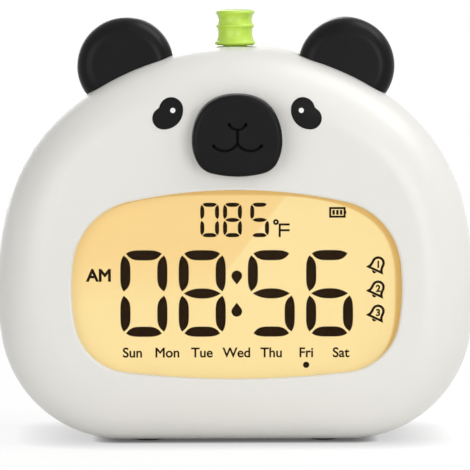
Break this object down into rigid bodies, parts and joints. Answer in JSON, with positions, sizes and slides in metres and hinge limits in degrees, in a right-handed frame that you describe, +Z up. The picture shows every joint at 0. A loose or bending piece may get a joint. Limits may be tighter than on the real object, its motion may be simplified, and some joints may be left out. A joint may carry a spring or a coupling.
{
  "type": "alarm clock",
  "caption": "Panda-head digital alarm clock with a backlit display window, round ears, a raised muzzle, a bamboo snooze button on top, and keys, sound slots and a charging socket at the back.",
  "frame": {"origin": "on the table plane, under the middle of the clock's overall box", "axes": "+X to the right of someone facing the display, +Y from the display to the back, +Z up"},
  "size_m": [0.14, 0.07, 0.1268],
  "materials": {
    "shell_white": "soft gloss ivory white, moulded",
    "panda_black": "soft gloss black, moulded",
    "bamboo_green": "gloss bamboo green, moulded",
    "clear_lens": "clear acrylic",
    "display_glass": "warm backlit display face",
    "light_guide": "milky acrylic",
    "frame_white": "moulded, matte",
    "key_grey": "satin grey",
    "black_plastic": "moulded, matte",
    "plunger_white": "moulded, matte",
    "circuit_board": "green solder mask",
    "led_yellow": "milky resin",
    "soft_rubber": "matte dark grey",
    "steel": "bright zinc",
    "sensor_bead": "dipped resin",
    "speaker_metal": "plain sheet steel",
    "cone_paper": "matte pressed paper",
    "cell_wrap": "satin blue wrap",
    "lead_sheath": "satin red sheath",
    "ribbon_grey": "satin grey"
  },
  "bodies": {
    "case": {"backlight_leds": "led_yellow", "battery_cell": "cell_wrap", "battery_lead": "lead_sheath", "battery_tray": "frame_white", "board_screws": "steel", "case_screws": "steel", "controller_chip": "black_plastic", "display_lens": "clear_lens", "ear_screws": "steel", "foot_pads": "soft_rubber", "frame_screws": "steel", "front_shell": "shell_white", "key_board": "circuit_board", "key_board_screws": "steel", "key_ribbon": "ribbon_grey", "key_switches": "black_plastic", "lcd_frame": "frame_white", "lcd_panel": "display_glass", "left_ear": "panda_black", "left_eye": "panda_black", "light_guide": "light_guide", "main_board": "circuit_board", "muzzle_cap": "panda_black", "muzzle_screws": "steel", "power_board": "circuit_board", "power_board_screws": "steel", "power_lead": "lead_sheath", "rear_cover": "shell_white", "right_ear": "panda_black", "right_eye": "panda_black", "snooze_board": "circuit_board", "snooze_board_screws": "steel", "snooze_lead": "lead_sheath", "snooze_spring": "steel", "snooze_switch": "black_plastic", "speaker_basket": "speaker_metal", "speaker_cone": "cone_paper", "speaker_gasket": "soft_rubber", "speaker_lead": "lead_sheath", "speaker_magnet": "speaker_metal", "speaker_screws": "steel", "temperature_sensor": "sensor_bead", "tray_screws": "steel", "usb_port": "steel", "usb_tongue": "black_plastic", "zebra_strip": "soft_rubber"},
    "snooze_button": {"bamboo_cap": "bamboo_green", "snooze_plunger": "plunger_white", "snooze_switch_plunger": "black_plastic"},
    "mode_button": {"mode_key": "key_grey", "mode_switch_plunger": "black_plastic"},
    "down_button": {"down_key": "key_grey", "down_switch_plunger": "black_plastic"},
    "up_button": {"up_key": "key_grey", "up_switch_plunger": "black_plastic"},
    "alarm_button": {"alarm_key": "key_grey", "alarm_switch_plunger": "black_plastic"}
  },
  "joints": [
    {"name": "snooze_press", "type": "slide", "parent": "case", "child": "snooze_button", "axis": [0, 0, -1], "range_m": [0, 0.0016], "stiffness_N_per_m": 1200, "deforming": ["snooze_spring"]},
    {"name": "mode_press", "type": "slide", "parent": "case", "child": "mode_button", "axis": [0, -1, 0], "range_m": [0, 0.0006], "stiffness_N_per_m": 2000},
    {"name": "down_press", "type": "slide", "parent": "case", "child": "down_button", "axis": [0, -1, 0], "range_m": [0, 0.0006], "stiffness_N_per_m": 2000},
    {"name": "up_press", "type": "slide", "parent": "case", "child": "up_button", "axis": [0, -1, 0], "range_m": [0, 0.0006], "stiffness_N_per_m": 2000},
    {"name": "alarm_press", "type": "slide", "parent": "case", "child": "alarm_button", "axis": [0, -1, 0], "range_m": [0, 0.0006], "stiffness_N_per_m": 2000}
  ]
}
